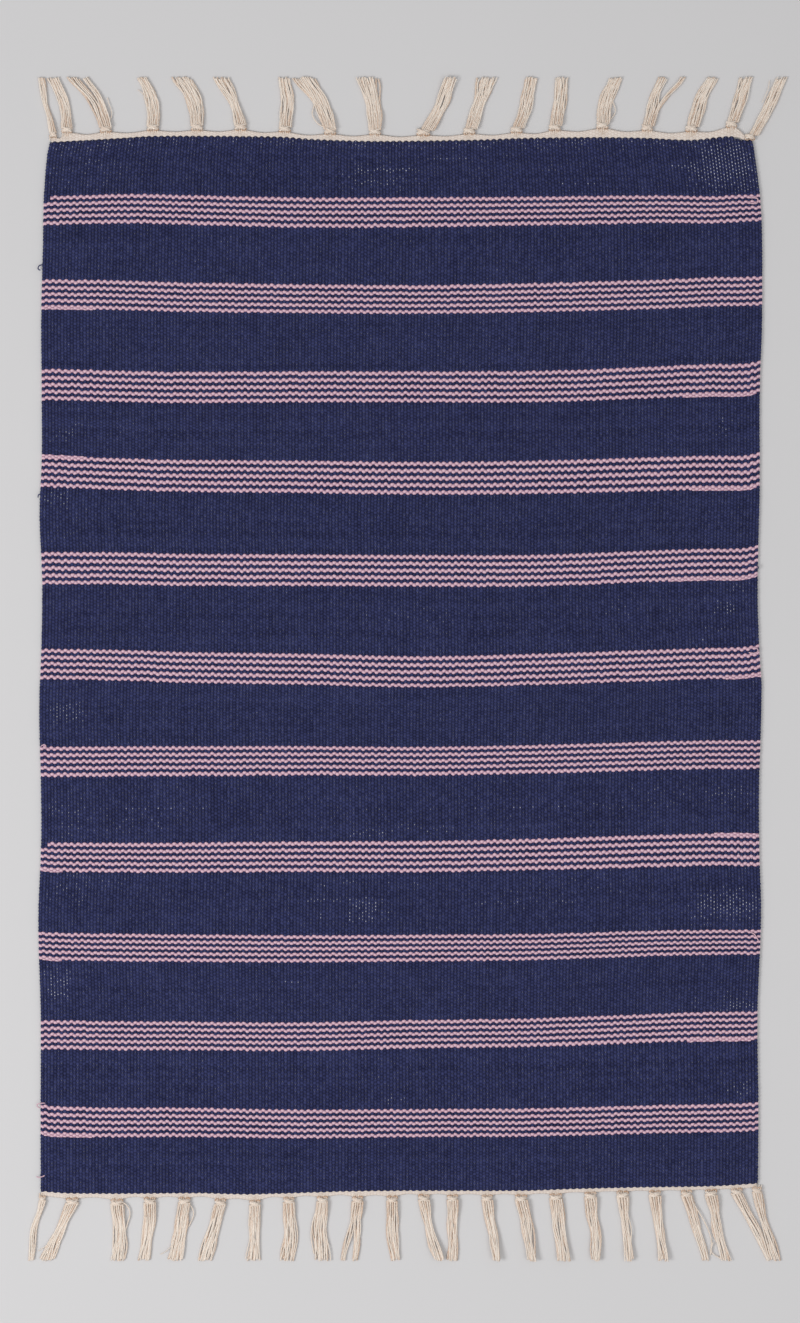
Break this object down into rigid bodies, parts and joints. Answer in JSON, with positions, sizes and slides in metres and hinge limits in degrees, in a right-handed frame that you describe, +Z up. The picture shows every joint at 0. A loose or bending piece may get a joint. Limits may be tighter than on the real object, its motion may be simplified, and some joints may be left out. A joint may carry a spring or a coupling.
{
  "type": "kilim rug",
  "caption": "Small flat-woven cotton kilim with striped body, a woven heading at each end and knotted tassel fringes; lies flat on a floor.",
  "frame": {"origin": "middle of the rug's box on the floor, so the middle of its underside", "axes": "+X across the rug, +Y along it towards the end with the fewer tassels, +Z up from the floor"},
  "size_m": [0.6376, 0.992, 0.005],
  "materials": {
    "woven_body": "matt navy weft-faced cotton weave with pink weft lines",
    "heading_cotton": "matt undyed cotton, closely woven",
    "tassel_yarn": "matt undyed plied cotton yarn"
  },
  "bodies": {
    "root": {"rug_body": "woven_body", "heading_top": "heading_cotton", "heading_bottom": "heading_cotton", "tassel_top_01": "tassel_yarn", "tassel_top_02": "tassel_yarn", "tassel_top_03": "tassel_yarn", "tassel_top_04": "tassel_yarn", "tassel_top_05": "tassel_yarn", "tassel_top_06": "tassel_yarn", "tassel_top_07": "tassel_yarn", "tassel_top_08": "tassel_yarn", "tassel_top_09": "tassel_yarn", "tassel_top_10": "tassel_yarn", "tassel_top_11": "tassel_yarn", "tassel_top_12": "tassel_yarn", "tassel_top_13": "tassel_yarn", "tassel_top_14": "tassel_yarn", "tassel_top_15": "tassel_yarn", "tassel_top_16": "tassel_yarn", "tassel_top_17": "tassel_yarn", "tassel_top_18": "tassel_yarn", "tassel_bottom_01": "tassel_yarn", "tassel_bottom_02": "tassel_yarn", "tassel_bottom_03": "tassel_yarn", "tassel_bottom_04": "tassel_yarn", "tassel_bottom_05": "tassel_yarn", "tassel_bottom_06": "tassel_yarn", "tassel_bottom_07": "tassel_yarn", "tassel_bottom_08": "tassel_yarn", "tassel_bottom_09": "tassel_yarn", "tassel_bottom_10": "tassel_yarn", "tassel_bottom_11": "tassel_yarn", "tassel_bottom_12": "tassel_yarn", "tassel_bottom_13": "tassel_yarn", "tassel_bottom_14": "tassel_yarn", "tassel_bottom_15": "tassel_yarn", "tassel_bottom_16": "tassel_yarn", "tassel_bottom_17": "tassel_yarn", "tassel_bottom_18": "tassel_yarn", "tassel_bottom_19": "tassel_yarn", "tassel_bottom_20": "tassel_yarn", "tassel_bottom_21": "tassel_yarn", "tassel_bottom_22": "tassel_yarn", "tassel_bottom_23": "tassel_yarn"}
  },
  "joints": []
}
